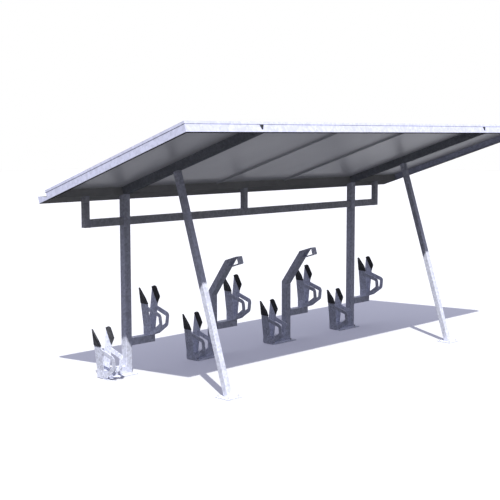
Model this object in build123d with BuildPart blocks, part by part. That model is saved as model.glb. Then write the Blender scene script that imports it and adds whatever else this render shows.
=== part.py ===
from build123d import *
from math import cos, hypot, radians, sin, tan
import os

# Bike shelter: an open steel frame with a sloping sheet roof, and eight wheel holders on four posts.
# X runs along the row of posts, Y from the open front to the low back, Z up. Sizes are in millimetres.

# Row of posts
bay = 1390                  # from one post to the next
post_side = 90
post_wall = 4
post_corner = 8
plate_thickness = 10

# Roof, measured square to its own slope
roof_slope = 18             # degrees, falling to the back
roof_underside = 2080       # height of the roof frame's underside on the line of the posts
roof_length = 6258
front_reach = 2294          # up the slope, from the line of the posts to the front edge
frame_depth = 88            # underside of the roof frame to the underside of the deck
edge_height = 110
edge_step_height = 80
edge_step = 4
sheet = 3
edge_lip = 25
edge_flange = 45
joint_notch_width = 60
joint_notch_foot = 20
joint_notch_depth = 78
seam_offset = 625           # from the middle of the roof to each deck seam
seam_flange = 25
deck_drip = 22
gutter_width = 158
gutter_back_height = 84
gutter_rim = 14

# Struts, square to the roof
strut_side = 68
strut_wall = 4
strut_corner = 6
strut_forward = 1675        # foot of each strut in front of the line of the posts
strut_plate_side = 200
strut_bolt_spacing = 150

# Rail under the low edge
rail_depth = 70
rail_height = 90
rail_wall = 4
rail_corner = 6
rail_bottom = 1740
hanger_side = 70
hanger_inset = 484          # middle of each outer hanger from the end of the roof
middle_hanger = -118

# Lock posts
lock_bend_height = 785
lock_lean = 36              # degrees forward of upright
lock_lean_length = 580
eye_slope = 17              # degrees above level
eye_reach = 146             # along the eye, from the middle of the post to its front
eye_height = 97
eye_plate = 8
eye_bend = 14

# Arms of the wheel holders
holder_offset = 350         # from the middle of a post to the middle of a holder
arm_height = 86
arm_wall = 4
arm_corner = 6
high_arm_width = 100        # the low arm is as wide as the post
high_arm_bottom = 326

# Wheel holders: two leaves that open upwards, each with a guide loop in front
leaf_thickness = 8
leaf_spacing = 80           # between the middles of the two leaves at their foot
leaf_lean = 7.5             # degrees outwards above the bend
leaf_bend_height = 100
leaf_back = 58
leaf_front = 64
leaf_back_height = 545
leaf_front_height = 377
loop_bar = 50
loop_reach = 284
loop_top_back = 342
loop_top_front = 278
loop_nose_low = 132
loop_chin_reach = 136
loop_chin_height = 26
loop_heel_height = 2
loop_corner = 56

# Rubber guides: a flap along the sloping top of each leaf, and a wing on the leaf's outer face
pad_thickness = 14
pad_flare = 30              # degrees outwards from the leaf
pad_belly = 54
pad_belly_place = 60
pad_tip_rise = 12
pad_round = 30
wing_thickness = 6
wing_round = 12

# Feet of the posts
foot_forward = 138          # in front of the line of the posts
foot_past_post = 48
foot_bolt_spacing = 340
bolt_hole = 14

# Places worked out from the sizes above
slope = radians(roof_slope)
back_reach = hanger_side / 2 / cos(slope)
front_edge_y = -front_reach * cos(slope)
gutter_back = back_reach + gutter_width
gutter_end_rise = gutter_back_height - gutter_width * tan(slope)
back_edge_y = gutter_back * cos(slope) + gutter_back_height * sin(slope)
post_line = -(front_edge_y + back_edge_y) / 2
half_roof = roof_length / 2
post_places = [(index - 1.5) * bay for index in range(4)]
main_places = {"left": post_places[0], "right": post_places[3]}
lock_places = {"left": post_places[1], "right": post_places[2]}
low_arm_end = holder_offset + (leaf_spacing - leaf_thickness) / 2
high_arm_end = holder_offset + (leaf_spacing + leaf_thickness) / 2
hanger_reach = half_roof - hanger_inset

# The roof's own frame: x along the roof, y down the slope, z square to the deck
down_slope = (0, cos(slope), -sin(slope))
square_to_roof = (0, sin(slope), cos(slope))
roof_origin = (0, post_line, roof_underside)
roof_plane = Plane(origin=roof_origin, x_dir=(1, 0, 0), z_dir=square_to_roof)
deck_plane = roof_plane.offset(frame_depth)
roof_section = Plane(origin=roof_origin, x_dir=down_slope, z_dir=(1, 0, 0))
post_section = Plane(origin=(0, post_line, 0), x_dir=(0, 1, 0), z_dir=(1, 0, 0))

os.makedirs("parts", exist_ok=True)


def save(part, name):
    part.label = name
    export_step(part, f"parts/{name}.step")


def roof_point(across, down, rise):
    return roof_plane.from_local_coords(Vector(across, down, rise))


def ring(width, height, wall, corner):
    """Section of a rolled hollow tube."""
    RectangleRounded(width, height, corner)
    RectangleRounded(width - 2 * wall, height - 2 * wall, corner - wall / 2, mode=Mode.SUBTRACT)


def outline_point(vector):
    return vector.X, vector.Y


# Main posts, cut to the slope under the rafters
for side, place in main_places.items():
    with BuildPart() as main_post:
        with BuildSketch(Plane.XY.offset(plate_thickness)):
            with Locations((place, post_line)):
                ring(post_side, post_side, post_wall, post_corner)
        extrude(amount=roof_underside + post_side)
        split(bisect_by=roof_plane, keep=Keep.BOTTOM)
    save(main_post.part, f"main_post_{side}")


# Lock posts: upright, then leaning forward to a closed eye
lean = radians(lock_lean)
tilt = radians(eye_slope)
lean_axis = Vector(-sin(lean), cos(lean))
lean_side = Vector(cos(lean), sin(lean))
eye_axis = Vector(-cos(tilt), sin(tilt))
eye_drop = Vector(-sin(tilt), -cos(tilt))
bend_point = Vector(0, lock_bend_height)
eye_middle = bend_point + lean_axis * lock_lean_length


def lock_outline(half_side, below_top):
    """Side view of a lock post, whose top lies a little below the eye's upper face."""
    bend_rise = half_side * tan(lean / 2)
    top_run = half_side * tan(lean + tilt)
    cut = lock_lean_length - below_top / cos(lean + tilt)
    return [
        (-half_side, plate_thickness),
        (half_side, plate_thickness),
        (half_side, lock_bend_height + bend_rise),
        outline_point(bend_point + lean_side * half_side + lean_axis * (cut - top_run)),
        outline_point(bend_point - lean_side * half_side + lean_axis * (cut + top_run)),
        (-half_side, lock_bend_height - bend_rise),
    ]


for side, place in lock_places.items():
    with BuildPart() as lock_post:
        with BuildSketch(post_section.offset(place)):
            Polygon(*lock_outline(post_side / 2, eye_plate), align=None)
        extrude(amount=post_side / 2, both=True)
        upright = lock_post.edges().filter_by(Axis.X, reverse=True)
        fillet(upright.filter_by(lambda edge: edge.length > 2 * post_side), post_corner)
        with BuildSketch(post_section.offset(place)):
            Polygon(*lock_outline(post_side / 2 - post_wall, eye_plate), align=None)
        extrude(amount=post_side / 2 - post_wall, both=True, mode=Mode.SUBTRACT)
    save(lock_post.part, f"lock_post_{side}")

    with BuildPart() as lock_eye:
        back_run = post_side / 2 / cos(lean + tilt)
        top_back = eye_middle - eye_axis * back_run
        top_front = eye_middle + eye_axis * eye_reach
        low_front = top_front + eye_drop * eye_height
        low_back = low_front - eye_axis * (eye_reach + back_run)
        corners = [top_back, top_front, low_front, low_back]
        with BuildSketch(post_section.offset(place)):
            with BuildLine():
                FilletPolyline(*[outline_point(corner) for corner in corners], radius=eye_bend)
                offset(amount=eye_plate, side=Side.LEFT, kind=Kind.INTERSECTION)
            make_face()
            Polygon(*lock_outline(post_side / 2, eye_plate), align=None, mode=Mode.SUBTRACT)
        extrude(amount=post_side / 2, both=True)
    save(lock_eye.part, f"lock_eye_{side}")


# Struts and their square feet
strut_down = -strut_forward * cos(slope) + roof_underside * sin(slope)
strut_length = roof_underside / cos(slope) + strut_forward * sin(slope)
for side, place in main_places.items():
    with BuildPart() as strut:
        with BuildSketch(roof_plane):
            with Locations((place, strut_down)):
                ring(strut_side, strut_side, strut_wall, strut_corner)
        extrude(amount=-strut_length - strut_side)
        split(bisect_by=Plane.XY.offset(plate_thickness), keep=Keep.TOP)
    save(strut.part, f"strut_{side}")

with BuildPart() as strut_feet:
    with BuildSketch():
        with Locations(*[(place, post_line - strut_forward) for place in main_places.values()]):
            Rectangle(strut_plate_side, strut_plate_side)
            with GridLocations(strut_bolt_spacing, strut_bolt_spacing, 2, 2):
                Circle(bolt_hole / 2, mode=Mode.SUBTRACT)
    extrude(amount=plate_thickness)
save(strut_feet.part, "strut_feet")


# Feet of the posts, flush with the low arm's holder and with the back of the post
foot_low_end = holder_offset + (leaf_spacing + leaf_thickness) / 2
foot_length = foot_low_end + foot_past_post
foot_strip_middle = (foot_forward + post_side / 2) / 2
for number, place in enumerate(post_places, 1):
    with BuildPart() as post_foot:
        with BuildSketch():
            with Locations((place - foot_low_end, post_line - foot_forward)):
                Rectangle(foot_length, foot_forward + post_side / 2, align=(Align.MIN, Align.MIN))
            with Locations((place + foot_past_post - foot_length / 2, post_line - foot_strip_middle)):
                with GridLocations(foot_bolt_spacing, 0, 2, 1):
                    Circle(bolt_hole / 2, mode=Mode.SUBTRACT)
        extrude(amount=plate_thickness)
    save(post_foot.part, f"post_foot_{number}")


# Rafters over the main posts
for side, place in main_places.items():
    with BuildPart() as rafter:
        with BuildSketch(Plane(roof_point(place, back_reach, frame_depth / 2), (1, 0, 0), down_slope)):
            ring(post_side, frame_depth, post_wall, post_corner)
        extrude(amount=-(front_reach + back_reach - sheet))
        with BuildSketch(roof_section.offset(place)):
            with Locations((-front_reach, 0)):
                Rectangle(edge_lip, sheet, align=(Align.MIN, Align.MIN))
        extrude(amount=post_side, both=True, mode=Mode.SUBTRACT)
    save(rafter.part, f"rafter_{side}")


# Deck: five flat sheets, turned down where they meet between the rafters
deck_edges = [-half_roof + sheet, post_places[0], -seam_offset, seam_offset, post_places[3], half_roof - sheet]
deck_length = front_reach - sheet + back_reach + sheet + deck_drip
for number in range(5):
    low_x, high_x = deck_edges[number], deck_edges[number + 1]
    with BuildPart() as deck:
        with BuildSketch(deck_plane):
            with Locations((low_x, -front_reach + sheet)):
                Rectangle(high_x - low_x, deck_length, align=(Align.MIN, Align.MIN))
        extrude(amount=sheet)
        for seam, inwards in ((low_x, Align.MIN), (high_x, Align.MAX)):
            if abs(seam) == seam_offset:
                with BuildSketch(deck_plane):
                    with Locations((seam, -front_reach + edge_lip)):
                        Rectangle(
                            sheet,
                            front_reach + back_reach - edge_lip,
                            align=(inwards, Align.MIN),
                        )
                extrude(amount=-seam_flange)
    save(deck.part, f"deck_{number + 1}")


# Edge sheets of the roof, mitred at the front corners
web_x = half_roof - edge_step


def mitre(side):
    """Plane between a front sheet and a side sheet; its normal points to the front sheet."""
    corner = roof_point(side * web_x, -front_reach, 0)
    return Plane(corner, square_to_roof, Vector(-side, 0, 0) - Vector(down_slope))


front_joints = [-half_roof, post_places[0], post_places[3], half_roof]
for number, name in enumerate(("left", "middle", "right")):
    low_x, high_x = front_joints[number], front_joints[number + 1]
    with BuildPart() as front_edge:
        with BuildSketch(roof_section.offset(low_x)):
            with BuildLine():
                Polyline(
                    (-front_reach + edge_lip, 0),
                    (-front_reach, 0),
                    (-front_reach, edge_step_height),
                    (-front_reach - edge_step, edge_step_height + edge_step),
                    (-front_reach - edge_step, edge_height),
                    (-front_reach - edge_step + edge_flange, edge_height),
                )
                offset(amount=sheet, side=Side.RIGHT, kind=Kind.INTERSECTION)
            make_face()
        extrude(amount=high_x - low_x)
        for joint in post_places[0], post_places[3]:
            with BuildSketch(Plane(roof_point(joint, -front_reach, edge_height), (1, 0, 0), down_slope)):
                Polygon(
                    (-joint_notch_width / 2, sheet),
                    (joint_notch_width / 2, sheet),
                    (joint_notch_foot / 2, joint_notch_depth),
                    (-joint_notch_foot / 2, joint_notch_depth),
                    align=None,
                )
            extrude(amount=edge_step + 2 * sheet, both=True, mode=Mode.SUBTRACT)
        if name == "left":
            split(bisect_by=mitre(-1), keep=Keep.TOP)
        if name == "right":
            split(bisect_by=mitre(1), keep=Keep.TOP)
    save(front_edge.part, f"edge_front_{name}")

for name, side in (("left", -1), ("right", 1)):
    with BuildPart() as side_edge:
        end = roof_point(side * web_x, back_reach, 0)
        with BuildSketch(Plane(end, (1, 0, 0), -Vector(down_slope))):
            with BuildLine():
                Polyline(
                    (-side * edge_lip, 0),
                    (0, 0),
                    (0, edge_step_height),
                    (side * edge_step, edge_step_height + edge_step),
                    (side * edge_step, edge_height),
                    (side * (edge_step - edge_flange), edge_height),
                )
                offset(amount=sheet, side=Side.LEFT if side > 0 else Side.RIGHT, kind=Kind.INTERSECTION)
            make_face()
        extrude(amount=front_reach + back_reach + edge_flange)
        split(bisect_by=mitre(side), keep=Keep.BOTTOM)
    save(side_edge.part, f"edge_side_{name}")


# Gutter along the low edge, its end plates, and the rail that hangs under it
gutter_x = web_x - sheet
with BuildPart() as gutter:
    with BuildSketch(roof_section.offset(-gutter_x)):
        with BuildLine():
            Polyline(
                (back_reach, frame_depth),
                (back_reach, 0),
                (gutter_back, 0),
                (gutter_back, gutter_back_height),
                (gutter_back - gutter_rim * cos(slope), gutter_back_height - gutter_rim * sin(slope)),
            )
            offset(amount=sheet, side=Side.RIGHT, kind=Kind.INTERSECTION)
        make_face()
    extrude(amount=2 * gutter_x)
save(gutter.part, "gutter")

with BuildPart() as gutter_ends:
    for low_x in (-web_x, gutter_x):
        with BuildSketch(roof_section.offset(low_x)):
            Polygon(
                (back_reach, 0),
                (gutter_back, 0),
                (gutter_back, gutter_back_height),
                (back_reach, gutter_end_rise),
                align=None,
            )
        extrude(amount=sheet)
save(gutter_ends.part, "gutter_ends")

rail_middle = rail_bottom + rail_height / 2
inner_hanger_face = hanger_reach - hanger_side / 2
outer_post_face = post_places[3] + post_side / 2
inner_post_face = post_places[3] - post_side / 2
rail_runs = {
    "left": (-inner_hanger_face, -outer_post_face),
    "middle": (-inner_post_face, inner_post_face),
    "right": (outer_post_face, inner_hanger_face),
}
for name, (low_x, high_x) in rail_runs.items():
    with BuildPart() as rail:
        with BuildSketch(post_section.offset(low_x)):
            with Locations((0, rail_middle)):
                ring(rail_depth, rail_height, rail_wall, rail_corner)
        extrude(amount=high_x - low_x)
    save(rail.part, f"rail_{name}")

hangers = {
    "left": (-hanger_reach, rail_bottom),
    "middle": (middle_hanger, rail_bottom + rail_height),
    "right": (hanger_reach, rail_bottom),
}
for name, (place, foot) in hangers.items():
    with BuildPart() as hanger:
        with BuildSketch(Plane.XY.offset(foot)):
            with Locations((place, post_line)):
                ring(hanger_side, hanger_side, rail_wall, rail_corner)
        extrude(amount=roof_underside)
        split(bisect_by=deck_plane, keep=Keep.BOTTOM)
        with BuildSketch(Plane.XY.offset(foot)):
            with Locations((place, post_line)):
                RectangleRounded(hanger_side, hanger_side, rail_corner)
        extrude(amount=rail_wall)
    save(hanger.part, f"hanger_{name}")


# Arms of each post: a low one to the left on the foot, a high one to the right
low_arm_bottom = plate_thickness
high_arm_top = high_arm_bottom + arm_height
for number, place in enumerate(post_places, 1):
    with BuildPart() as post_arms:
        with BuildSketch(post_section.offset(place - low_arm_end)):
            with Locations((0, low_arm_bottom + arm_height / 2)):
                ring(post_side, arm_height, arm_wall, arm_corner)
        extrude(amount=low_arm_end - post_side / 2)
        with BuildSketch(post_section.offset(place + high_arm_end)):
            with Locations((0, high_arm_bottom + arm_height / 2)):
                ring(high_arm_width, arm_height, arm_wall, arm_corner)
        extrude(amount=post_side / 2 - high_arm_end)
        with BuildSketch(post_section.offset(place + high_arm_end)):
            with Locations((0, high_arm_bottom + arm_height / 2)):
                RectangleRounded(high_arm_width, arm_height, arm_corner)
        extrude(amount=-arm_wall)
    save(post_arms.part, f"arms_{number}")


# Wheel holders and their rubber guides
leaf_tilt = radians(leaf_lean)
crease_run = leaf_front + leaf_back
crease_rise = leaf_back_height - leaf_front_height
crease_shift = crease_rise * tan(leaf_tilt)
crease_length = hypot(crease_run, crease_rise, crease_shift)
crease = Vector(crease_shift, crease_run, crease_rise).normalized()
crease_normal = Vector(0, -crease_rise, crease_run)
leaf_normal = Vector(cos(leaf_tilt), 0, -sin(leaf_tilt))
leaf_rise = leaf_normal.cross(crease)
flare = radians(pad_flare)
pad_rise = leaf_rise * cos(flare) + leaf_normal * sin(flare)
leaf_inner = (leaf_spacing - leaf_thickness) / 2
crease_x = leaf_inner + (leaf_front_height - leaf_bend_height) * tan(leaf_tilt)
leaf_top_x = leaf_inner + (leaf_back_height - leaf_bend_height) * tan(leaf_tilt)
wing_corner = (crease_run * crease.Y, crease_run * leaf_rise.Y)
seats = {
    "low": (-holder_offset, plate_thickness, low_arm_bottom, post_side),
    "high": (holder_offset, high_arm_top, high_arm_bottom, high_arm_width),
}


def wheel_holder(middle, base, arm_bottom, arm_width):
    """Two leaves with their loops, cut where they stand on the arm."""
    with BuildPart() as holder:
        with BuildSketch(post_section.offset(middle)):
            with Locations((0, base)):
                Polygon(
                    (-leaf_front + loop_bar, loop_top_back),
                    (-leaf_front, loop_top_back),
                    (-loop_reach, loop_top_front),
                    (-loop_reach, loop_nose_low),
                    (-loop_chin_reach, loop_chin_height),
                    (-leaf_front, loop_heel_height),
                    (-leaf_front + loop_bar, loop_heel_height),
                    align=None,
                )
            fillet(vertices().sort_by(Axis.X)[:3], loop_corner)
            offset(amount=-loop_bar, mode=Mode.SUBTRACT)
            with Locations((0, base)):
                Polygon(
                    (leaf_back, 0),
                    (leaf_back, leaf_back_height),
                    (-leaf_front, leaf_front_height),
                    (-leaf_front, 0),
                    align=None,
                )
        extrude(amount=2 * leaf_spacing, both=True)
        with BuildSketch(Plane((middle, post_line, base), (1, 0, 0), (0, -1, 0))):
            with BuildLine():
                Polyline(
                    (leaf_inner, 0),
                    (leaf_inner, leaf_bend_height),
                    (leaf_top_x, leaf_back_height),
                )
                offset(amount=leaf_thickness, side=Side.RIGHT, kind=Kind.INTERSECTION)
            make_face()
            mirror(about=Plane.YZ)
        extrude(amount=2 * loop_reach, both=True, mode=Mode.INTERSECT)
        with Locations((middle - leaf_inner, post_line, arm_bottom)):
            Box(
                2 * leaf_spacing,
                arm_width,
                arm_height,
                align=(Align.MIN, Align.CENTER, Align.MIN),
                mode=Mode.SUBTRACT,
            )
    return holder.part


def rubber_guides(middle, base, holder):
    """Two flaps, flared outwards from the sloping tops of the leaves, with wings down the outer faces."""
    inner_foot = Vector(middle + crease_x, post_line - leaf_front, base + leaf_front_height)
    flap_foot = inner_foot + leaf_normal * (leaf_thickness / 2)
    wing_foot = inner_foot + leaf_normal * leaf_thickness
    with BuildPart() as guides:
        with BuildSketch(Plane(flap_foot, crease, crease.cross(pad_rise))):
            Polygon(
                (0, -pad_thickness),
                (0, 0),
                (pad_belly_place, pad_belly),
                (crease_length + pad_tip_rise, pad_belly),
                (crease_length + pad_tip_rise, -pad_thickness),
                align=None,
            )
            fillet(vertices().group_by(Axis.Y)[-1], pad_round)
        extrude(amount=pad_thickness / 2, both=True)
        split(bisect_by=Plane(flap_foot, (1, 0, 0), crease_normal), keep=Keep.TOP)
        with BuildSketch(Plane(wing_foot, crease, leaf_normal)):
            Polygon(
                (0, leaf_thickness / 2),
                (crease_length, leaf_thickness / 2),
                (crease_length, 0),
                wing_corner,
                (0, 0),
                align=None,
            )
            fillet(vertices().sort_by(Axis.Y)[0], wing_round)
        extrude(amount=wing_thickness)
        mirror(about=Plane.YZ.offset(middle))
        add(holder, mode=Mode.SUBTRACT)
    return guides.part


for number, place in enumerate(post_places, 1):
    with BuildPart() as wheel_guides:
        for name, (shift, base, arm_bottom, arm_width) in seats.items():
            holder = wheel_holder(place + shift, base, arm_bottom, arm_width)
            add(rubber_guides(place + shift, base, holder))
            save(holder, f"wheel_holder_{name}_{number}")
    save(wheel_guides.part, f"wheel_guides_{number}")
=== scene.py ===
import math
import random
import bmesh
import bpy
from mathutils import Matrix, Vector


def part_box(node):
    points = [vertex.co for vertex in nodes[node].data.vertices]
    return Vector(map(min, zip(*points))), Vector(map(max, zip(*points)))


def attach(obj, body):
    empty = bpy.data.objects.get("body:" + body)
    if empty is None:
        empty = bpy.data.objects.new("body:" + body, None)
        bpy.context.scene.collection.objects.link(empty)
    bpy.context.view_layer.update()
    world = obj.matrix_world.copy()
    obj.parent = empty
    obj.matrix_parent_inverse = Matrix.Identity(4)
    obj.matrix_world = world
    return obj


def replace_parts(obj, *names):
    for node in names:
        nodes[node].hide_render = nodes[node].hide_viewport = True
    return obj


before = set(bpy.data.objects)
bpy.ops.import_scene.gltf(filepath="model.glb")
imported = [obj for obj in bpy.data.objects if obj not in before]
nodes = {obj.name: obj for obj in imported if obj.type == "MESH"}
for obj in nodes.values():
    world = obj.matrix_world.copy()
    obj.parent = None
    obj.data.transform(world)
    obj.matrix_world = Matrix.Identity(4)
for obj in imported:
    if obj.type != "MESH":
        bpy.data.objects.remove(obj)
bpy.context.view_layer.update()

random.seed(7)

# Places read from the frame


def middleOf(box):
    return (box[0] + box[1]) / 2


postNames = ["main_post_left", "lock_post_left", "lock_post_right", "main_post_right"]
postMiddles = [middleOf(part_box(name)).x for name in postNames]
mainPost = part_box("main_post_left")
postLine = middleOf(mainPost).y
postHalf = (mainPost[1].x - mainPost[0].x) / 2
footBoxes = [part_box(f"post_foot_{number}") for number in range(1, 5)]
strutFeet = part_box("strut_feet")
plateTop = strutFeet[1].z
slope = math.radians(18)
alongX = Vector((1, 0, 0))
alongY = Vector((0, 1, 0))
alongZ = Vector((0, 0, 1))
downSlope = Vector((0, math.cos(slope), -math.sin(slope)))
squareToRoof = Vector((0, math.sin(slope), math.cos(slope)))
# the underside of the roof frame on the line of the posts
roofOrigin = Vector((0, postLine, mainPost[1].z - postHalf * math.tan(slope)))
roofFoot = roofOrigin.dot(squareToRoof)


def planeAt(place, across, up):
    # a frame whose X runs along across and whose Y runs along up
    normal = across.cross(up)
    turn = Matrix((across, up, normal)).transposed().to_4x4()
    return Matrix.Translation(place) @ turn


planeRoof = planeAt(roofOrigin, alongX, downSlope)
frontDown = (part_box("edge_front_middle")[0].y - postLine) / math.cos(slope)
mergeDistance = 0.00002                # corners nearer to each other than this are one

# Finishes


def emptyTree(owner):
    owner.use_nodes = True
    owner.node_tree.nodes.clear()
    return owner.node_tree


def newMaterial(name):
    mat = bpy.data.materials.new(name)
    tree = emptyTree(mat)
    out = tree.nodes.new("ShaderNodeOutputMaterial")
    shader = tree.nodes.new("ShaderNodeBsdfPrincipled")
    tree.links.new(shader.outputs["BSDF"], out.inputs["Surface"])
    return mat, tree, shader


def addNode(tree, kind, **settings):
    node = tree.nodes.new(kind)
    for key, value in settings.items():
        if hasattr(node, key):
            setattr(node, key, value)
        else:
            node.inputs[key].default_value = value
    return node


def addNoise(tree, vector, scale, detail):
    noise = addNode(tree, "ShaderNodeTexNoise", Scale=scale, Detail=detail, Roughness=0.6)
    tree.links.new(vector, noise.inputs["Vector"])
    return noise.outputs["Fac"]


def mixShares(tree, parts):
    # parts: pairs of a socket and its share of the sum
    total = None
    for socket, share in parts:
        step = addNode(tree, "ShaderNodeMath", operation="MULTIPLY_ADD")
        step.inputs[1].default_value = share
        tree.links.new(socket, step.inputs[0])
        if total is None:
            step.inputs[2].default_value = 0.0
        else:
            tree.links.new(total, step.inputs[2])
        total = step.outputs["Value"]
    return total


def blended(tree, patterns, shares):
    return mixShares(tree, [(patterns[key], share) for key, share in shares.items()])


def mixColours(tree, factor, colour, tint, blend="MIX"):
    # the colour sockets of a Mix node are its inputs 6 and 7 and its output 2
    mix = addNode(tree, "ShaderNodeMix", data_type="RGBA", blend_type=blend)
    tree.links.new(factor, mix.inputs["Factor"])
    tree.links.new(colour, mix.inputs[6])
    mix.inputs[7].default_value = (*tint, 1)
    return mix.outputs[2]


toneStops = {"dark": 0.3, "base": 0.5, "pale": 0.7}


def threeStops(tree, factor, look):
    ramp = addNode(tree, "ShaderNodeValToRGB")
    stops = ramp.color_ramp.elements
    stops[0].position = toneStops["dark"]
    stops[0].color = (*look["dark"], 1)
    stops[1].position = toneStops["pale"]
    stops[1].color = (*look["pale"], 1)
    middle = stops.new(toneStops["base"])
    middle.color = (*look["base"], 1)
    tree.links.new(factor, ramp.inputs["Fac"])
    return ramp.outputs["Color"]


def roughnessOver(tree, shader, factor, look):
    # the roughness wanders round its written value
    spread = addNode(tree, "ShaderNodeMapRange")
    spread.inputs["To Min"].default_value = look["roughness"] - look["smoother"]
    spread.inputs["To Max"].default_value = look["roughness"] + look["rougher"]
    tree.links.new(factor, spread.inputs["Value"])
    tree.links.new(spread.outputs["Result"], shader.inputs["Roughness"])


def bumpFrom(tree, shader, relief, look):
    bump = addNode(tree, "ShaderNodeBump", Strength=look["bump"], Distance=look["bumpDepth"])
    tree.links.new(relief, bump.inputs["Height"])
    tree.links.new(bump.outputs["Normal"], shader.inputs["Normal"])


def redAndGreen(tree, colour):
    # two independent random values of one crystal
    split = addNode(tree, "ShaderNodeSeparateColor")
    tree.links.new(colour, split.inputs["Color"])
    return split.outputs["Red"], split.outputs["Green"]


def stretched(tree, place, scale):
    mapping = addNode(tree, "ShaderNodeMapping")
    mapping.inputs["Scale"].default_value = scale
    tree.links.new(place, mapping.inputs["Vector"])
    return mapping.outputs["Vector"]


def shades(base, spread):
    # a colour with a darker and a paler one beside it
    dark = tuple(value * (1 - spread) for value in base)
    pale = tuple(value * (1 + spread) for value in base)
    return {"dark": dark, "base": base, "pale": pale}


zincTube = {
    **shades((0.59, 0.605, 0.70), 0.18),
    "spangle": 42.0,                   # crystals per metre
    "cloud": 3.5,                      # wide, soft unevenness
    "runs": (26.0, 26.0, 1.6),         # drip marks of the dip, long in Z
    "grit": 240.0,
    "toneShares": {"spangle": 0.34, "cloud": 0.26, "runs": 0.28, "grit": 0.12},
    "reliefShares": {"cloud": 0.5, "grit": 0.3, "runs": 0.2},
    "roughness": 0.46,
    "smoother": 0.1,                   # how far the roughness goes below and above
    "rougher": 0.12,
    "specular": 0.12,
    "bump": 0.1,
    "bumpDepth": 0.001,
}
zincPlate = {**zincTube, **shades((0.69, 0.71, 0.82), 0.22), "spangle": 48.0, "roughness": 0.5}
# painted shade: a darker zinc for the rails and hangers, standing in for the shade they lie in under
# the roof
zincRailPaintedShade = {**zincTube, **shades((0.47, 0.475, 0.52), 0.18)}
# painted shade: a much darker zinc for the rafters, standing in for the shade under the roof
zincRafterPaintedShade = {
    **zincTube,
    **shades((0.24, 0.25, 0.28), 0.17),
    "runs": (26.0, 1.6, 26.0),         # long in Y, as the rafters lie
    "specular": 0.0,
}
zincBolt = {
    **zincTube,
    **shades((0.52, 0.52, 0.56), 0.15),
    "spangle": 260.0,
    "roughness": 0.34,
    "specular": 0.5,
}
zincWeld = {
    **zincTube,
    **shades((0.47, 0.48, 0.57), 0.2),
    "spangle": 300.0,
    "roughness": 0.55,
    "bump": 0.5,
}


def zincMaterial(name, look):
    mat, tree, shader = newMaterial(name)
    place = addNode(tree, "ShaderNodeTexCoord").outputs["Object"]
    crystals = addNode(tree, "ShaderNodeTexVoronoi", Scale=look["spangle"], Randomness=1.0)
    tree.links.new(place, crystals.inputs["Vector"])
    crystalTone, crystalGloss = redAndGreen(tree, crystals.outputs["Color"])
    patterns = {
        "spangle": crystalTone,
        "cloud": addNoise(tree, place, look["cloud"], 6.0),
        "runs": addNoise(tree, stretched(tree, place, look["runs"]), 1.0, 5.0),
        "grit": addNoise(tree, place, look["grit"], 2.0),
    }
    tone = blended(tree, patterns, look["toneShares"])
    tree.links.new(threeStops(tree, tone, look), shader.inputs["Base Color"])
    roughnessOver(tree, shader, crystalGloss, look)
    shader.inputs["Specular IOR Level"].default_value = look["specular"]
    bumpFrom(tree, shader, blended(tree, patterns, look["reliefShares"]), look)
    return mat


roofSheet = {
    **shades((0.57, 0.575, 0.60), 0.09),
    "streaks": (9.0, 0.5, 9.0),        # rain marks, long down the slope
    "cloud": 1.3,
    "grain": 150.0,
    "toneShares": {"streaks": 0.4, "cloud": 0.45, "grain": 0.15},
    "reliefShares": {"grain": 0.4, "cloud": 0.6},
    "roughness": 0.4,
    "smoother": 0.12,
    "rougher": 0.15,
    "specular": 0.3,
    "bump": 0.12,
    "bumpDepth": 0.0008,
    "deckRise": 0.0895,                # above the roof's foot, between the two faces of the deck
    "topPaintedShade": (0.71, 0.71, 0.70),  # painted shade: darkens the deck's top face, which faces the sun
}
edgeSheet = {
    **roofSheet,
    **shades((0.615, 0.63, 0.78), 0.1),
    "roughness": 0.5,
    "specular": 0.0,
    "mottle": 34.0,                    # blotches of the zinc per metre
    "mottleShare": 0.4,
    "lipShadowHeight": 0.0045,               # painted shadow: a dark band along the foot of the sheet, under its lip
    "lipShadowColour": (0.06, 0.06, 0.065),
}
# painted shade: a dark grey for the gutter, standing in for the shade of its band under the roof
gutterSheetPaintedShade = {**roofSheet, **shades((0.38, 0.38, 0.375), 0.15), "specular": 0.0}


def pastPlane(tree, roofCoords, side, rise):
    # 1 on one side of a plane that lies in the roof, and 0 on the other
    axes = addNode(tree, "ShaderNodeSeparateXYZ")
    tree.links.new(roofCoords, axes.inputs["Vector"])
    past = addNode(tree, "ShaderNodeMath", operation=side)
    past.inputs[1].default_value = roofFoot + rise
    tree.links.new(axes.outputs["Z"], past.inputs[0])
    return past.outputs["Value"]


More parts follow.
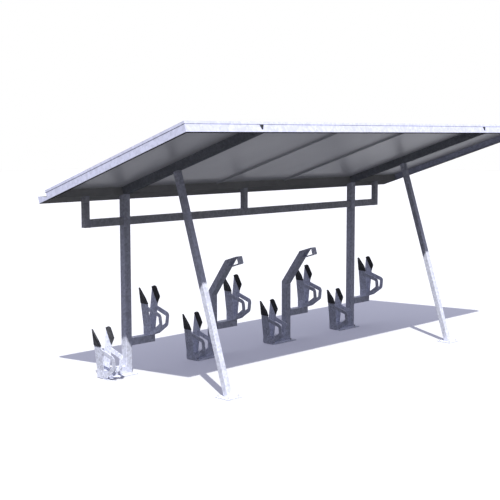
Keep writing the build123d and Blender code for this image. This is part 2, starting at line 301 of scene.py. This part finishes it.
def sheetMaterial(name, look):
    mat, tree, shader = newMaterial(name)
    place = addNode(tree, "ShaderNodeTexCoord").outputs["Object"]
    turn = addNode(tree, "ShaderNodeMapping")
    turn.inputs["Rotation"].default_value = (slope, 0, 0)
    tree.links.new(place, turn.inputs["Vector"])
    roofCoords = turn.outputs["Vector"]
    patterns = {
        "streaks": addNoise(tree, stretched(tree, roofCoords, look["streaks"]), 1.0, 5.0),
        "cloud": addNoise(tree, place, look["cloud"], 5.0),
        "grain": addNoise(tree, place, look["grain"], 3.0),
    }
    tone = blended(tree, patterns, look["toneShares"])
    if "mottle" in look:
        blotches = addNode(tree, "ShaderNodeTexVoronoi", Scale=look["mottle"], Randomness=1.0)
        tree.links.new(place, blotches.inputs["Vector"])
        blotchTone = redAndGreen(tree, blotches.outputs["Color"])[0]
        tone = mixShares(tree, [(tone, 1 - look["mottleShare"]), (blotchTone, look["mottleShare"])])
    colour = threeStops(tree, tone, look)
    # painted shadow along the foot of the front and side sheets
    if "lipShadowHeight" in look:
        lipShadowMask = pastPlane(tree, roofCoords, "LESS_THAN", look["lipShadowHeight"])
        colour = mixColours(tree, lipShadowMask, colour, look["lipShadowColour"])
    else:
        # painted shade on the top face of the deck
        onTop = pastPlane(tree, roofCoords, "GREATER_THAN", look["deckRise"])
        colour = mixColours(tree, onTop, colour, look["topPaintedShade"], "MULTIPLY")
    tree.links.new(colour, shader.inputs["Base Color"])
    roughnessOver(tree, shader, patterns["streaks"], look)
    shader.inputs["Specular IOR Level"].default_value = look["specular"]
    bumpFrom(tree, shader, blended(tree, patterns, look["reliefShares"]), look)
    return mat


rubber = {
    "base": (0.022, 0.022, 0.027),
    "dust": (0.06, 0.062, 0.07),
    "scuff": (0.12, 0.12, 0.125),
    "dustPatches": 30.0,               # patches per metre
    "dustFrom": 0.45,
    "dustTo": 0.78,
    "rubs": (40.0, 190.0, 40.0),       # rub marks of the tyres, thin in Y
    "rubFrom": 0.62,
    "rubTo": 0.8,
    "grain": 620.0,
    "roughness": 0.66,
    "specular": 0.22,
    "bump": 0.3,
    "bumpDepth": 0.0006,
    "reliefShares": {"grain": 0.7, "dust": 0.3},
}


def rubberMaterial(name, look):
    mat, tree, shader = newMaterial(name)
    place = addNode(tree, "ShaderNodeTexCoord").outputs["Object"]
    patterns = {
        "grain": addNoise(tree, place, look["grain"], 3.0),
        "dust": addNoise(tree, place, look["dustPatches"], 6.0),
    }
    rubs = addNoise(tree, stretched(tree, place, look["rubs"]), 1.0, 3.0)
    dusty = addNode(tree, "ShaderNodeValToRGB")
    bare, covered = dusty.color_ramp.elements
    bare.position = look["dustFrom"]
    bare.color = (*look["base"], 1)
    covered.position = look["dustTo"]
    covered.color = (*look["dust"], 1)
    tree.links.new(patterns["dust"], dusty.inputs["Fac"])
    worn = addNode(tree, "ShaderNodeMapRange")
    worn.inputs["From Min"].default_value = look["rubFrom"]
    worn.inputs["From Max"].default_value = look["rubTo"]
    tree.links.new(rubs, worn.inputs["Value"])
    colour = mixColours(tree, worn.outputs["Result"], dusty.outputs["Color"], look["scuff"])
    tree.links.new(colour, shader.inputs["Base Color"])
    shader.inputs["Roughness"].default_value = look["roughness"]
    shader.inputs["Specular IOR Level"].default_value = look["specular"]
    bumpFrom(tree, shader, blended(tree, patterns, look["reliefShares"]), look)
    return mat


finishes = {
    "tube": zincMaterial("zincTube", zincTube),
    "plate": zincMaterial("zincPlate", zincPlate),
    "rail": zincMaterial("zincRailPaintedShade", zincRailPaintedShade),
    "rafter": zincMaterial("zincRafterPaintedShade", zincRafterPaintedShade),
    "bolt": zincMaterial("zincBolt", zincBolt),
    "weld": zincMaterial("zincWeld", zincWeld),
    "roof": sheetMaterial("roofSheet", roofSheet),
    "edge": sheetMaterial("edgeSheet", edgeSheet),
    "gutter": sheetMaterial("gutterSheetPaintedShade", gutterSheetPaintedShade),
    "rubber": rubberMaterial("rubber", rubber),
}
finishByName = {
    "wheel_guides": "rubber",
    "wheel_holder": "plate",
    "lock_eye": "plate",
    "post_foot": "plate",
    "strut_feet": "plate",
    "rafter": "rafter",
    "rail": "rail",
    "hanger": "rail",
    "deck": "roof",
    "edge": "edge",
    "gutter_ends": "edge",
    "gutter": "gutter",
}


def finishOf(name):
    for start, finish in finishByName.items():
        if name.startswith(start):
            return finish
    return "tube"


for name, obj in nodes.items():
    for slot in obj.material_slots:
        slot.material = finishes[finishOf(name)]
print("finishes set on", len(nodes), "nodes")

# Small steel parts


def templateOf(name, shape):
    bmesh.ops.recalc_face_normals(shape, faces=shape.faces)
    mesh = bpy.data.meshes.new(name)
    shape.to_mesh(mesh)
    shape.free()
    return mesh


def makePiece(name, shape, finish):
    mesh = templateOf(name, shape)
    mesh.materials.append(finishes[finish])
    piece = bpy.data.objects.new(name, mesh)
    bpy.context.scene.collection.objects.link(piece)
    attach(piece, "root")
    return piece


def gathered(meshes):
    shape = bmesh.new()
    for mesh in meshes:
        shape.from_mesh(mesh)
    return shape


def roundEdges(shape, edges, offset):
    bmesh.ops.bevel(
        shape,
        geom=edges,
        offset=offset,
        offset_type="OFFSET",
        segments=2,
        profile=0.5,
        affect="EDGES",
        material=-1,
    )


def sheetBlock(width, depth, height, rounding, footShare=1.0):
    # a flat sheet round its own middle, narrowed at its foot by footShare
    shape = bmesh.new()
    bmesh.ops.create_cube(shape, size=1, matrix=Matrix.Diagonal((width, depth, height, 1)))
    for vert in shape.verts:
        if vert.co.z < 0:
            vert.co.x *= footShare
    roundEdges(shape, shape.edges[:], rounding)
    return shape


def copiesOf(template, places):
    shape = bmesh.new()
    for place in places:
        before = len(shape.verts)
        shape.from_mesh(template)
        shape.verts.ensure_lookup_table()
        bmesh.ops.transform(shape, matrix=place, verts=shape.verts[before:])
    return shape


def turned(profile, segments):
    # profile: pairs of radius and height, spun round Z
    shape = bmesh.new()
    ring = [shape.verts.new((radius, 0, height)) for radius, height in profile]
    edges = [shape.edges.new(pair) for pair in zip(ring, ring[1:])]
    bmesh.ops.spin(
        shape,
        geom=ring + edges,
        cent=(0, 0, 0),
        axis=(0, 0, 1),
        angle=2 * math.pi,
        steps=segments,
        use_merge=True,
    )
    bmesh.ops.remove_doubles(shape, verts=shape.verts, dist=mergeDistance)
    return templateOf("turned", shape)


def hexagon(acrossFlats, height, base, chamfer):
    shape = bmesh.new()
    bmesh.ops.create_cone(
        shape,
        cap_ends=True,
        segments=6,
        radius1=acrossFlats / math.sqrt(3),
        radius2=acrossFlats / math.sqrt(3),
        depth=height,
        matrix=Matrix.Translation((0, 0, base + height / 2)),
    )
    top = [edge for edge in shape.edges if all(end.co.z > base + height / 2 for end in edge.verts)]
    roundEdges(shape, top, chamfer)
    return templateOf("hexagon", shape)


anchor = {
    "studRadius": 0.006,
    "threadDepth": 0.0007,
    "threadPitch": 0.00175,
    "studDepth": 0.009,
    "studRise": 0.024,                 # end of the stud above the plate
    "studTipRadius": 0.00424,
    "studSegments": 20,
    "nutFlats": 0.019,
    "nutHeight": 0.0105,
    "nutChamfer": 0.0012,
    "washerRadius": 0.012,
    "washerTopRadius": 0.01164,
    "washerHeight": 0.0025,
    "washerRimHeight": 0.002,
    "washerSegments": 28,
    "strutFootSide": 0.2,              # from here on as in the CAD
    "strutFootSpacing": 0.15,
    "postFootSpacing": 0.34,
}


def anchorTemplate(look):
    core = look["studRadius"] - look["threadDepth"]
    profile = [(0, -look["studDepth"]), (core, -look["studDepth"])]
    height = 0
    while height < look["studRise"] - look["threadPitch"]:
        profile.append((core, height))
        profile.append((look["studRadius"], height + look["threadPitch"] / 2))
        height += look["threadPitch"]
    profile += [(core, height), (look["studTipRadius"], look["studRise"]), (0, look["studRise"])]
    washer = [
        (core, 0),
        (look["washerRadius"], 0),
        (look["washerRadius"], look["washerRimHeight"]),
        (look["washerTopRadius"], look["washerHeight"]),
        (core, look["washerHeight"]),
    ]
    stud = turned(profile, look["studSegments"])
    nut = hexagon(look["nutFlats"], look["nutHeight"], look["washerHeight"], look["nutChamfer"])
    return templateOf("anchor", gathered([stud, turned(washer, look["washerSegments"]), nut]))


def anchorPlaces(look):
    places = []
    half = look["strutFootSpacing"] / 2
    inset = look["strutFootSide"] / 2
    for footX in (strutFeet[0].x + inset, strutFeet[1].x - inset):
        for sideX in (-half, half):
            for sideY in (-half, half):
                places.append((footX + sideX, middleOf(strutFeet).y + sideY))
    for foot in footBoxes:
        stripY = (foot[0].y + postLine - postHalf) / 2
        for sideX in (-look["postFootSpacing"] / 2, look["postFootSpacing"] / 2):
            places.append((middleOf(foot).x + sideX, stripY))
    turns = [Matrix.Rotation(random.uniform(0, math.pi / 3), 4, "Z") for place in places]
    return [Matrix.Translation((x, y, plateTop)) @ turn for (x, y), turn in zip(places, turns)]


anchors = copiesOf(anchorTemplate(anchor), anchorPlaces(anchor))
makePiece("anchors", anchors, "bolt")
print("anchors made")

weld = {
    "radius": 0.0042,
    "step": 0.0055,                    # from one ripple to the next
    "unevenness": 0.16,                # every second ripple is thinner by this share
    "wander": 0.06,                    # random share on top of it
    "corner": 0.008,
    "strutHalf": 0.034,                # half the side of a strut
    "railHalf": (0.035, 0.045),        # half the depth and half the height of the rail
    "armHeight": 0.086,
    "leafFootHalf": 0.044,             # from the middle of a holder to the outside of its leaf
}


def loopPoints(halfWidth, halfHeight, look):
    # a rounded rectangle in its own plane, in steps of one ripple
    corner = look["corner"]
    points = []
    quarter = max(2, round(corner * math.pi / 2 / look["step"]))
    for turn, (signX, signY) in enumerate(((1, 1), (-1, 1), (-1, -1), (1, -1))):
        centre = Vector((signX * (halfWidth - corner), signY * (halfHeight - corner), 0))
        for step in range(quarter + 1):
            angle = math.pi / 2 * (turn + step / quarter)
            points.append(centre + corner * Vector((math.cos(angle), math.sin(angle), 0)))
    full = []
    for start, end in zip(points, points[1:] + points[:1]):
        count = max(1, round((end - start).length / look["step"]))
        full += [start.lerp(end, index / count) for index in range(count)]
    return full


def linePoints(start, end, look):
    count = max(2, round((end - start).length / look["step"]))
    return [start.lerp(end, index / count) for index in range(count + 1)]


def addBead(curve, points, closed, look):
    spline = curve.splines.new("POLY")
    spline.points.add(len(points) - 1)
    for index, (knot, point) in enumerate(zip(spline.points, points)):
        knot.co = (*point, 1)
        ripple = look["unevenness"] if index % 2 else 0
        knot.radius = 1 - ripple + random.uniform(-look["wander"], look["wander"])
    spline.use_cyclic_u = closed


def beadMesh(name, look, loops, lines):
    curve = bpy.data.curves.new(name, "CURVE")
    curve.dimensions = "3D"
    curve.bevel_depth = look["radius"]
    curve.bevel_resolution = 1
    curve.use_fill_caps = True
    for plane, halfWidth, halfHeight in loops:
        addBead(curve, [plane @ point for point in loopPoints(halfWidth, halfHeight, look)], True, look)
    for start, end in lines:
        addBead(curve, linePoints(start, end, look), False, look)
    curveObject = bpy.data.objects.new(name, curve)
    shape = gathered([bpy.data.meshes.new_from_object(curveObject)])
    bpy.data.objects.remove(curveObject)
    return shape


def postFootWelds(look):
    # a loop is the plane it lies in and half of its two widths
    places = [(middle, postLine, plateTop) for middle in postMiddles]
    return [(planeAt(place, alongX, alongY), postHalf, postHalf) for place in places]


def strutWelds(look):
    loops = []
    half = look["strutHalf"]
    long = half / math.cos(slope)
    for name in ("strut_left", "strut_right"):
        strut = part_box(name)
        across = middleOf(strut).x
        foot = Vector((across, strut[0].y + long, plateTop))
        headY = strut[1].y - half * math.cos(slope)
        head = Vector((across, headY, strut[1].z - half * math.sin(slope)))
        loops.append((planeAt(foot, alongX, alongY), half, long))
        loops.append((planeAt(head, alongX, downSlope), half, half))
    return loops


def postTopWelds(look):
    loops = []
    for name in ("main_post_left", "main_post_right"):
        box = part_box(name)
        top = Vector((middleOf(box).x, postLine, box[1].z - postHalf * math.tan(slope)))
        loops.append((planeAt(top, alongX, downSlope), postHalf, postHalf / math.cos(slope)))
    return loops


def railWelds(look):
    loops = []
    halfDepth, halfHeight = look["railHalf"]
    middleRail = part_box("rail_middle")
    for name in ("rail_left", "rail_middle", "rail_right"):
        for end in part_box(name):
            place = (end.x, postLine, middleOf(middleRail).z)
            loops.append((planeAt(place, alongY, alongZ), halfDepth, halfHeight))
    for name in ("hanger_left", "hanger_middle", "hanger_right"):
        top = roofOrigin + alongX * middleOf(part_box(name)).x
        loops.append((planeAt(top, alongX, downSlope), halfDepth, halfDepth / math.cos(slope)))
    place = (middleOf(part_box("hanger_middle")).x, postLine, middleRail[1].z)
    loops.append((planeAt(place, alongX, alongY), halfDepth, halfDepth))
    return loops


def armWelds(look):
    lines = []
    inset = postHalf - look["corner"]
    edgeInset = postHalf - look["corner"] / 2
    height = look["armHeight"]
    for number, middle in enumerate(postMiddles, 1):
        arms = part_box(f"arms_{number}")
        for side, base in ((-1, arms[0].z), (1, arms[1].z - height)):
            face = middle + side * postHalf
            for level in (base, base + height):
                start = Vector((face, postLine - inset, level))
                lines.append((start, Vector((face, postLine + inset, level))))
            for across in (postLine - edgeInset, postLine + edgeInset):
                lines.append((Vector((face, across, base)), Vector((face, across, base + height))))
    return lines


def holderWelds(look):
    lines = []
    for number in range(1, 5):
        for name, base in (("low", plateTop), ("high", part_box(f"arms_{number}")[1].z)):
            middle = middleOf(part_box(f"wheel_holder_{name}_{number}")).x
            for outer in (middle - look["leafFootHalf"], middle + look["leafFootHalf"]):
                start = Vector((outer, postLine - postHalf, base))
                lines.append((start, Vector((outer, postLine + postHalf, base))))
    return lines


weldLoops = postFootWelds(weld) + strutWelds(weld) + postTopWelds(weld) + railWelds(weld)
weldLines = armWelds(weld) + holderWelds(weld)
makePiece("welds", beadMesh("welds", weld, weldLoops, weldLines), "weld")
print("welds made:", len(weldLoops), "loops and", len(weldLines), "lines")

# Roof strips and screws

roofScrew = {
    "headFlats": 0.008,
    "headHeight": 0.0052,
    "headChamfer": 0.0008,
    "flangeRadius": 0.0065,
    "flangeHeight": 0.0008,
    "washerRadius": 0.0095,
    "washerHeight": 0.0022,
    "washerRimHeight": 0.00154,
    "segments": 18,
    "pitch": 0.24,                     # from one screw to the next, down the slope
    "endInset": 0.09,
}
jointStrip = {
    "width": 0.062,
    "thickness": 0.0015,
    "edgeRound": 0.0006,
    "frontInset": 0.05,                # from the front of the deck
    "backInset": 0.012,
    "screwInset": 0.012,               # from each long edge of the strip
}

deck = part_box("deck_3")
deckThickness = 0.003
deckFront = Vector((0, deck[0].y + deckThickness * math.sin(slope), deck[1].z))
deckRun = (deck[1].y - deckFront.y) / math.cos(slope)
deckJoints = [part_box(f"deck_{number}")[1].x for number in range(1, 5)]


def roofPlace(across, down, rise):
    # on the deck, measured from its front edge
    place = alongX * across + deckFront + downSlope * down + squareToRoof * rise
    return planeAt(place, alongX, -downSlope)


def makeStrips(look):
    length = deckRun - look["frontInset"] - look["backInset"]
    strip = sheetBlock(look["width"], length, look["thickness"], look["edgeRound"])
    middle = look["frontInset"] + length / 2
    places = [roofPlace(joint, middle, look["thickness"] / 2) for joint in deckJoints]
    makePiece("joint_strips", copiesOf(templateOf("strip", strip), places), "roof")


def screwTemplate(look):
    flangeTop = look["washerHeight"] + look["flangeHeight"]
    seal = [
        (0, 0),
        (look["washerRadius"], 0),
        (look["washerRadius"], look["washerRimHeight"]),
        (look["flangeRadius"], look["washerHeight"]),
        (look["flangeRadius"], flangeTop),
        (0, flangeTop),
    ]
    head = hexagon(look["headFlats"], look["headHeight"], look["washerHeight"], look["headChamfer"])
    return templateOf("screw", gathered([turned(seal, look["segments"]), head]))


def makeScrews(look, strip):
    run = deckRun - 2 * look["endInset"]
    count = round(run / look["pitch"])
    places = []
    for joint in deckJoints:
        for side in (-1, 1):
            across = joint + side * (strip["width"] / 2 - strip["screwInset"])
            for index in range(count + 1):
                down = look["endInset"] + run * index / count
                turn = Matrix.Rotation(random.uniform(0, math.pi / 3), 4, "Z")
                places.append(roofPlace(across, down, strip["thickness"]) @ turn)
    makePiece("roof_screws", copiesOf(screwTemplate(look), places), "bolt")


makeStrips(jointStrip)
makeScrews(roofScrew, jointStrip)
print("roof strips and screws made")

# Gutter front, hangers and notches, whose heights are measured square to the roof

gutterFront = {
    "sheet": 0.003,
    "top": 0.0878,                     # just under the deck
    "foot": 0.0032,
    "endGap": 0.0005,
    "lipGap": 0.026,                   # keeps the flange clear of the side sheets' lips
    "edgeRound": 0.0008,
}


def roofBlock(acrossRange, downRange, riseRange, rounding):
    # a sheet that lies square in the roof, measured from the line of the posts
    ranges = (acrossRange, downRange, riseRange)
    shape = sheetBlock(*[high - low for low, high in ranges], rounding)
    centre = Matrix.Translation([(low + high) / 2 for low, high in ranges])
    bmesh.ops.transform(shape, matrix=planeRoof @ centre, verts=shape.verts)
    return templateOf("sheet", shape)


def makeGutterFront(look):
    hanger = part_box("hanger_middle")
    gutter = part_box("gutter")
    back = (hanger[1].y - hanger[0].y) / 2 / math.cos(slope)
    front = -back - look["sheet"]
    cuts = [end.x for name in ("rafter_left", "rafter_right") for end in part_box(name)]
    meshes = []
    webEnds = [gutter[0].x + look["endGap"], *cuts, gutter[1].x - look["endGap"]]
    for ends in zip(webEnds[::2], webEnds[1::2]):
        meshes.append(roofBlock(ends, (front, -back), (look["foot"], look["top"]), look["edgeRound"]))
    flangeEnds = [webEnds[0] + look["lipGap"], *cuts, webEnds[-1] - look["lipGap"]]
    for ends in zip(flangeEnds[::2], flangeEnds[1::2]):
        meshes.append(roofBlock(ends, (front, back), (0, look["sheet"]), look["edgeRound"]))
    makePiece("gutter_front", gathered(meshes), "gutter")


def makeHanger(name):
    # the node's own tube, ended under the gutter
    shape = gathered([nodes[name].data])
    bmesh.ops.remove_doubles(shape, verts=shape.verts, dist=mergeDistance)
    cut = bmesh.ops.bisect_plane(
        shape,
        geom=shape.verts[:] + shape.edges[:] + shape.faces[:],
        plane_co=roofOrigin,
        plane_no=squareToRoof,
        clear_outer=True,
    )
    rim = [part for part in cut["geom_cut"] if isinstance(part, bmesh.types.BMEdge)]
    bmesh.ops.bridge_loops(shape, edges=rim)
    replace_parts(makePiece(f"{name}_tube", shape, "rail"), name)


# painted shade: a dark rubber-finished plug in each notch of the front sheet, standing in for the shade
# seen through the notch
notchShadowPlug = {
    "top": 0.079,                      # just under the step of the front sheet
    "foot": 0.03,
    "topHalf": 0.031,                  # half of its width
    "footHalf": 0.009,
    "proud": 0.002,                    # in front of the front edge
    "depth": 0.007,
    "edgeRound": 0.0012,
}
notchCover = {
    "top": 0.107,
    "foot": 0.082,
    "topHalf": 0.0305,
    "footHalf": 0.0235,
    "proud": 0.004,
    "depth": 0.003,
    "edgeRound": 0.0004,
}


def makePlugs(name, look, finish):
    meshes = []
    rise = look["top"] - look["foot"]
    footShare = look["footHalf"] / look["topHalf"]
    down = frontDown - look["proud"] + look["depth"] / 2
    for joint in (deckJoints[0], deckJoints[3]):
        shape = sheetBlock(2 * look["topHalf"], look["depth"], rise, look["edgeRound"], footShare)
        place = Matrix.Translation((joint, down, look["foot"] + rise / 2))
        bmesh.ops.transform(shape, matrix=planeRoof @ place, verts=shape.verts)
        meshes.append(templateOf("plug", shape))
    makePiece(name, gathered(meshes), finish)


makeGutterFront(gutterFront)
for side in ("left", "middle", "right"):
    makeHanger(f"hanger_{side}")
makePlugs("notch_shadow_plugs", notchShadowPlug, "rubber")
makePlugs("notch_covers", notchCover, "edge")
print("gutter front and notch pieces made")

# Floor, light and camera

floorLook = {
    "size": 60.0,
    "colour": (0.49, 0.49, 0.46),      # as the camera sees it
    "glow": (0.155, 0.157, 0.23),      # keeps the shadow pale
    "bounce": (0.071, 0.071, 0.072),   # as it lights the shelter from below
}


def raySwitch(tree, lighting, shown):
    # one shader lights the shelter, the other is what the camera and reflections show
    rays = addNode(tree, "ShaderNodeLightPath")
    seen = addNode(tree, "ShaderNodeMath", operation="MAXIMUM")
    tree.links.new(rays.outputs["Is Camera Ray"], seen.inputs[0])
    mirrored = addNode(tree, "ShaderNodeMath", operation="MAXIMUM")
    tree.links.new(rays.outputs["Is Glossy Ray"], mirrored.inputs[0])
    tree.links.new(rays.outputs["Is Transmission Ray"], mirrored.inputs[1])
    tree.links.new(mirrored.outputs["Value"], seen.inputs[1])
    choose = addNode(tree, "ShaderNodeMixShader")
    tree.links.new(seen.outputs["Value"], choose.inputs["Fac"])
    tree.links.new(lighting, choose.inputs[1])
    tree.links.new(shown, choose.inputs[2])
    return choose.outputs["Shader"]


def makeFloor(look):
    mesh = bpy.data.meshes.new("floor")
    shape = bmesh.new()
    bmesh.ops.create_grid(shape, x_segments=1, y_segments=1, size=look["size"])
    shape.to_mesh(mesh)
    shape.free()
    floor = bpy.data.objects.new("floor", mesh)
    bpy.context.scene.collection.objects.link(floor)
    mat = bpy.data.materials.new("floorPaint")
    tree = emptyTree(mat)
    out = tree.nodes.new("ShaderNodeOutputMaterial")
    bounce = addNode(tree, "ShaderNodeBsdfDiffuse", Color=(*look["bounce"], 1))
    paint = addNode(tree, "ShaderNodeBsdfDiffuse", Color=(*look["colour"], 1))
    glow = addNode(tree, "ShaderNodeEmission", Color=(*look["glow"], 1), Strength=1.0)
    shown = addNode(tree, "ShaderNodeAddShader")
    tree.links.new(paint.outputs["BSDF"], shown.inputs[0])
    tree.links.new(glow.outputs["Emission"], shown.inputs[1])
    surface = raySwitch(tree, bounce.outputs["BSDF"], shown.outputs["Shader"])
    tree.links.new(surface, out.inputs["Surface"])
    mesh.materials.append(mat)


lightLook = {
    "sunDirection": (0.495, 0.536, -1.0),
    "sunStrength": 5.6,
    "sunAngle": 0.7,                   # degrees
    "horizon": (0.03, 0.032, 0.04),
    "horizonHeight": 0.2,              # sine of the height where the sky starts to brighten
    "zenith": (0.66, 0.68, 0.88),
    "zenithHeight": 0.6,
}


def makeSun(look):
    sun = bpy.data.lights.new("sun", "SUN")
    sun.energy = look["sunStrength"]
    sun.angle = math.radians(look["sunAngle"])
    lamp = bpy.data.objects.new("sun", sun)
    lamp.rotation_mode = "QUATERNION"
    lamp.rotation_quaternion = Vector(look["sunDirection"]).to_track_quat("-Z", "Y")
    bpy.context.scene.collection.objects.link(lamp)


def makeSky(look):
    world = bpy.data.worlds.new("studio")
    bpy.context.scene.world = world
    tree = emptyTree(world)
    out = tree.nodes.new("ShaderNodeOutputWorld")
    coords = addNode(tree, "ShaderNodeTexCoord")
    axes = addNode(tree, "ShaderNodeSeparateXYZ")
    tree.links.new(coords.outputs["Generated"], axes.inputs["Vector"])
    fade = addNode(tree, "ShaderNodeValToRGB")
    low, high = fade.color_ramp.elements
    low.position = look["horizonHeight"]
    low.color = (*look["horizon"], 1)
    high.position = look["zenithHeight"]
    high.color = (*look["zenith"], 1)
    tree.links.new(axes.outputs["Z"], fade.inputs["Fac"])
    sky = addNode(tree, "ShaderNodeBackground", Strength=1.0)
    tree.links.new(fade.outputs["Color"], sky.inputs["Color"])
    white = addNode(tree, "ShaderNodeBackground", Color=(1, 1, 1, 1), Strength=1.0)
    surface = raySwitch(tree, sky.outputs["Background"], white.outputs["Background"])
    tree.links.new(surface, out.inputs["Surface"])


cameraLook = {
    "place": (-9.6563, -8.2982, 2.7517),
    "forward": (0.71621, 0.68928, -0.10928),
    "up": (0.07952, 0.07497, 0.99401),
    "lens": 74.6,
    "sensorWidth": 36.0,
    "clipEnd": 200.0,
}


def makeCamera(look):
    camera = bpy.data.cameras.new("camera")
    camera.sensor_width = look["sensorWidth"]
    camera.lens = look["lens"]
    camera.clip_end = look["clipEnd"]
    cameraObject = bpy.data.objects.new("camera", camera)
    bpy.context.scene.collection.objects.link(cameraObject)
    forward = Vector(look["forward"]).normalized()
    right = forward.cross(Vector(look["up"])).normalized()
    turn = Matrix((right, right.cross(forward), -forward)).transposed().to_4x4()
    cameraObject.matrix_world = Matrix.Translation(look["place"]) @ turn
    bpy.context.scene.camera = cameraObject


makeFloor(floorLook)
makeSun(lightLook)
makeSky(lightLook)
makeCamera(cameraLook)
bpy.context.scene.view_settings.view_transform = "Standard"
print("floor, light and camera set")
